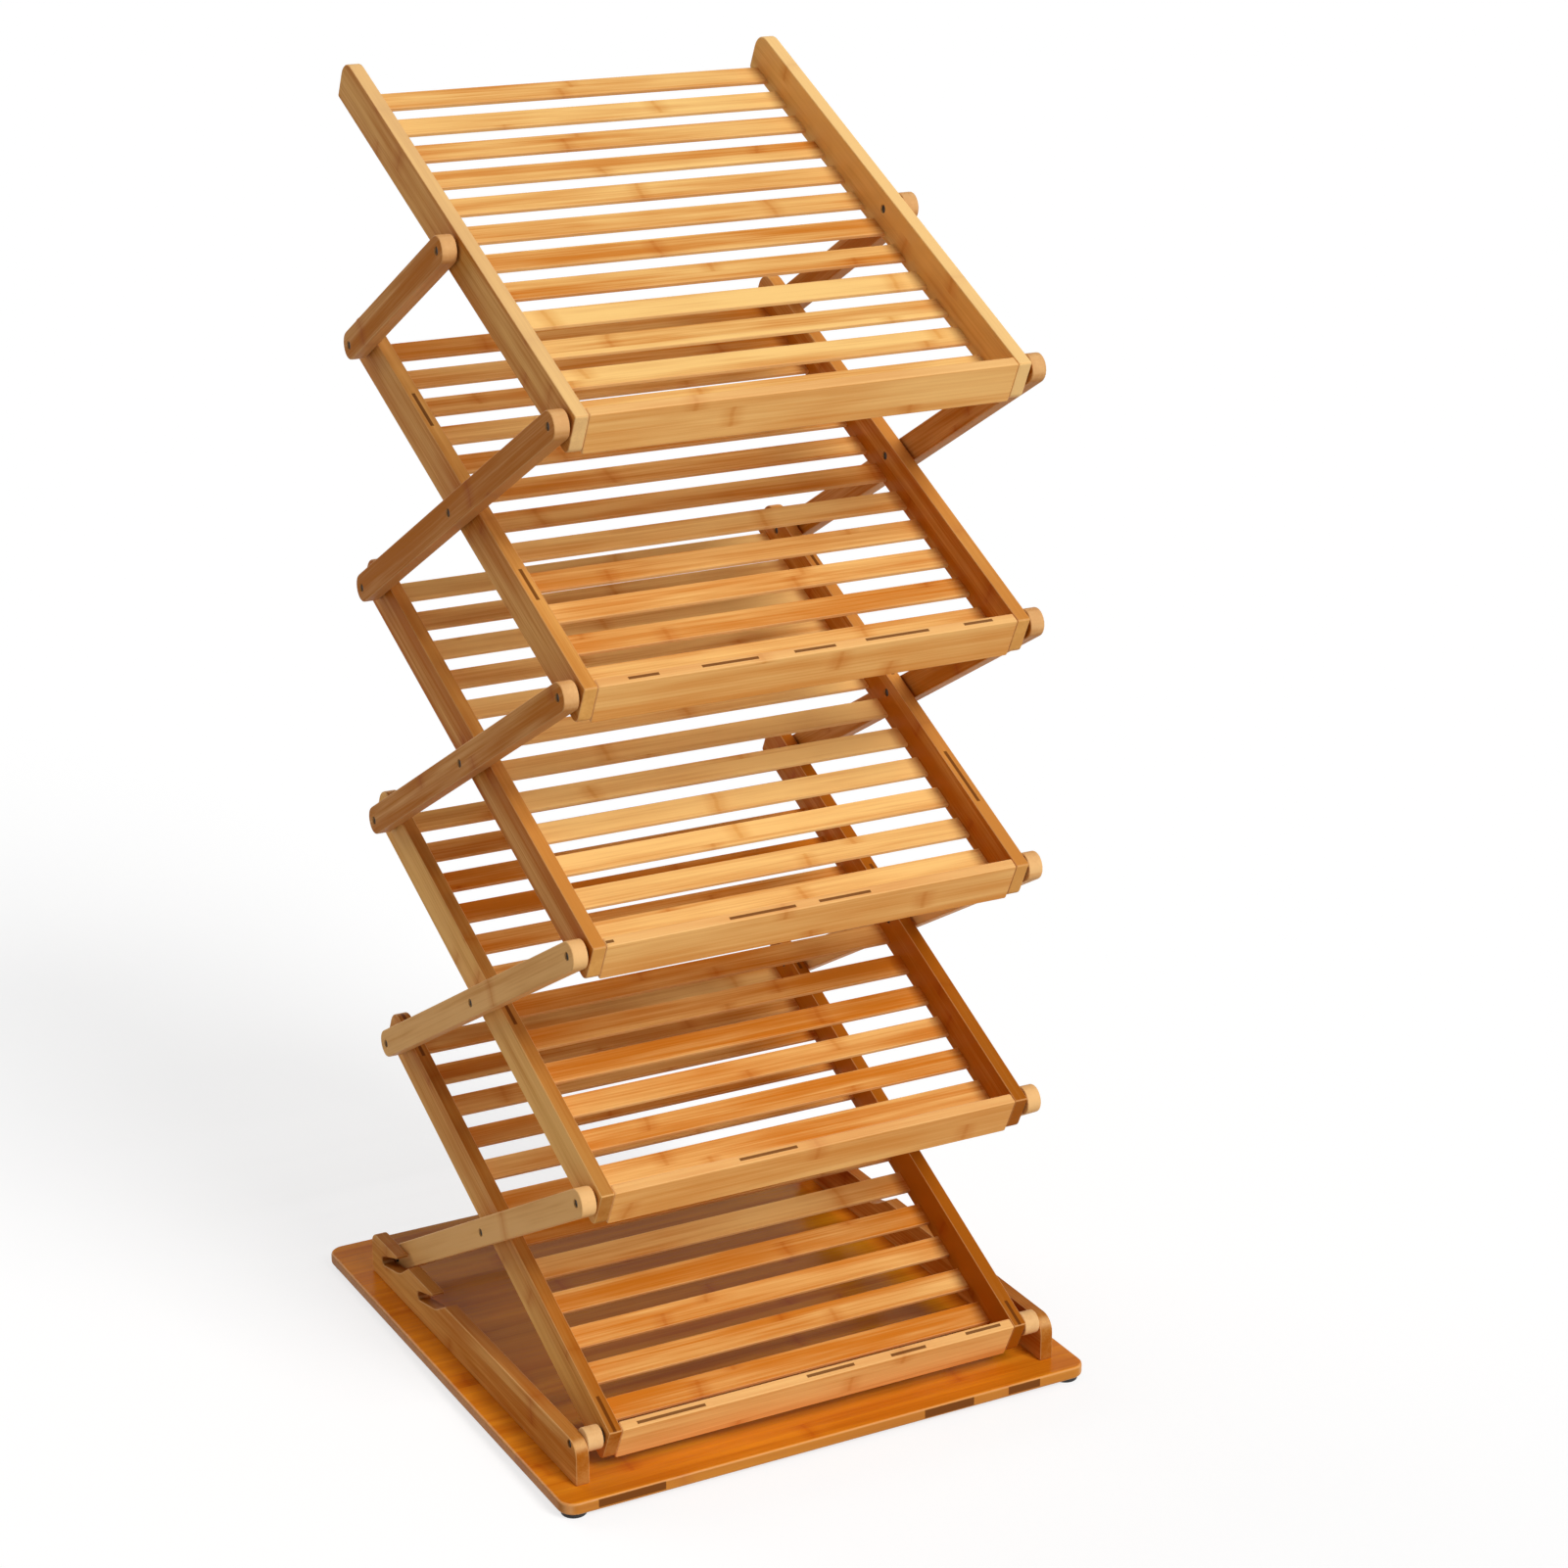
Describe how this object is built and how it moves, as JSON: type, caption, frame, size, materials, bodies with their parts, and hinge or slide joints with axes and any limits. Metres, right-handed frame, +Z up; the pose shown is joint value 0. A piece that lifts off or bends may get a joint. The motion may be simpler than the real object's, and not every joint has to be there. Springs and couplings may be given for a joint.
{
  "type": "folding magazine rack",
  "caption": "Folding floor rack of sloping slatted bamboo shelves on a scissor lattice of struts, standing on a base board with slotted rails that set its height.",
  "frame": {"origin": "on the ground, in the middle of the base board's outline", "axes": "+Z up, front lips face -Y, +X to the right seen from the front"},
  "size_m": [0.414, 0.4326, 0.9124],
  "materials": {
    "bamboo_rail": "clear varnished bamboo",
    "bamboo_lip": "satin varnished bamboo",
    "bamboo_slat": "satin varnished bamboo",
    "bamboo_strut": "satin varnished bamboo",
    "bamboo_board": "gloss varnished bamboo",
    "bamboo_spacer": "pale bamboo",
    "bamboo_dowel": "plain bamboo",
    "steel": "darkened steel",
    "steel_washer": "dull steel",
    "rubber": "matte black"
  },
  "bodies": {
    "base": {"base_board": "bamboo_board", "base_rail_left": "bamboo_rail", "base_rail_right": "bamboo_rail", "base_screws": "steel", "rubber_feet": "rubber", "front_pivot_pins": "steel", "front_spacers": "bamboo_spacer", "front_washers": "steel_washer"},
    "shelf_1": {"shelf_1_rail_left": "bamboo_rail", "shelf_1_rail_right": "bamboo_rail", "shelf_1_lip": "bamboo_lip", "shelf_1_lip_dowels": "bamboo_dowel", "shelf_1_slats": "bamboo_slat"},
    "struts_1": {"strut_1_left": "bamboo_strut", "strut_1_right": "bamboo_strut", "strut_1_pins": "steel", "strut_1_washers": "steel_washer", "lock_rod": "steel"},
    "shelf_2": {"shelf_2_rail_left": "bamboo_rail", "shelf_2_rail_right": "bamboo_rail", "shelf_2_lip": "bamboo_lip", "shelf_2_lip_dowels": "bamboo_dowel", "shelf_2_slats": "bamboo_slat"},
    "struts_2": {"strut_2_left": "bamboo_strut", "strut_2_right": "bamboo_strut", "strut_2_pins": "steel", "strut_2_washers": "steel_washer"},
    "shelf_3": {"shelf_3_rail_left": "bamboo_rail", "shelf_3_rail_right": "bamboo_rail", "shelf_3_lip": "bamboo_lip", "shelf_3_lip_dowels": "bamboo_dowel", "shelf_3_slats": "bamboo_slat"},
    "struts_3": {"strut_3_left": "bamboo_strut", "strut_3_right": "bamboo_strut", "strut_3_pins": "steel", "strut_3_washers": "steel_washer"},
    "shelf_4": {"shelf_4_rail_left": "bamboo_rail", "shelf_4_rail_right": "bamboo_rail", "shelf_4_lip": "bamboo_lip", "shelf_4_lip_dowels": "bamboo_dowel", "shelf_4_slats": "bamboo_slat"},
    "struts_4": {"strut_4_left": "bamboo_strut", "strut_4_right": "bamboo_strut", "strut_4_pins": "steel", "strut_4_washers": "steel_washer"},
    "shelf_5": {"shelf_5_rail_left": "bamboo_rail", "shelf_5_rail_right": "bamboo_rail", "shelf_5_lip": "bamboo_lip", "shelf_5_lip_dowels": "bamboo_dowel", "shelf_5_slats": "bamboo_slat"},
    "struts_5": {"strut_5_left": "bamboo_strut", "strut_5_right": "bamboo_strut", "strut_5_pins": "steel", "strut_5_washers": "steel_washer"}
  },
  "joints": [
    {"name": "fold", "type": "hinge", "parent": "base", "child": "shelf_1", "pos_m": [0, -0.18577, 0.041], "axis": [1, 0, 0], "range_deg": [-21.5, 17.85]},
    {"name": "cross_1", "type": "hinge", "parent": "shelf_1", "child": "struts_1", "pos_m": [0, -0.01845, 0.12225], "axis": [1, 0, 0], "range_deg": [-35.7, 43]},
    {"name": "front_2", "type": "hinge", "parent": "struts_1", "child": "shelf_2", "pos_m": [0, -0.18018, 0.21412], "axis": [1, 0, 0], "range_deg": [-43, 35.7]},
    {"name": "cross_2", "type": "hinge", "parent": "shelf_2", "child": "struts_2", "pos_m": [0, -0.01286, 0.29536], "axis": [1, 0, 0], "range_deg": [-35.7, 43]},
    {"name": "front_3", "type": "hinge", "parent": "struts_2", "child": "shelf_3", "pos_m": [0, -0.17459, 0.38724], "axis": [1, 0, 0], "range_deg": [-43, 35.7]},
    {"name": "cross_3", "type": "hinge", "parent": "shelf_3", "child": "struts_3", "pos_m": [0, -0.00727, 0.46848], "axis": [1, 0, 0], "range_deg": [-35.7, 43]},
    {"name": "front_4", "type": "hinge", "parent": "struts_3", "child": "shelf_4", "pos_m": [0, -0.169, 0.56035], "axis": [1, 0, 0], "range_deg": [-43, 35.7]},
    {"name": "cross_4", "type": "hinge", "parent": "shelf_4", "child": "struts_4", "pos_m": [0, -0.00168, 0.6416], "axis": [1, 0, 0], "range_deg": [-35.7, 43]},
    {"name": "front_5", "type": "hinge", "parent": "struts_4", "child": "shelf_5", "pos_m": [0, -0.16341, 0.73347], "axis": [1, 0, 0], "range_deg": [-43, 35.7]},
    {"name": "cross_5", "type": "hinge", "parent": "shelf_5", "child": "struts_5", "pos_m": [0, 0.00391, 0.81472], "axis": [1, 0, 0], "range_deg": [-35.7, 43]}
  ],
  "couplings": [
    {"joint": "cross_1", "follows": "fold", "ratio": -2},
    {"joint": "front_2", "follows": "fold", "ratio": 2},
    {"joint": "cross_2", "follows": "fold", "ratio": -2},
    {"joint": "front_3", "follows": "fold", "ratio": 2},
    {"joint": "cross_3", "follows": "fold", "ratio": -2},
    {"joint": "front_4", "follows": "fold", "ratio": 2},
    {"joint": "cross_4", "follows": "fold", "ratio": -2},
    {"joint": "front_5", "follows": "fold", "ratio": 2},
    {"joint": "cross_5", "follows": "fold", "ratio": -2}
  ]
}
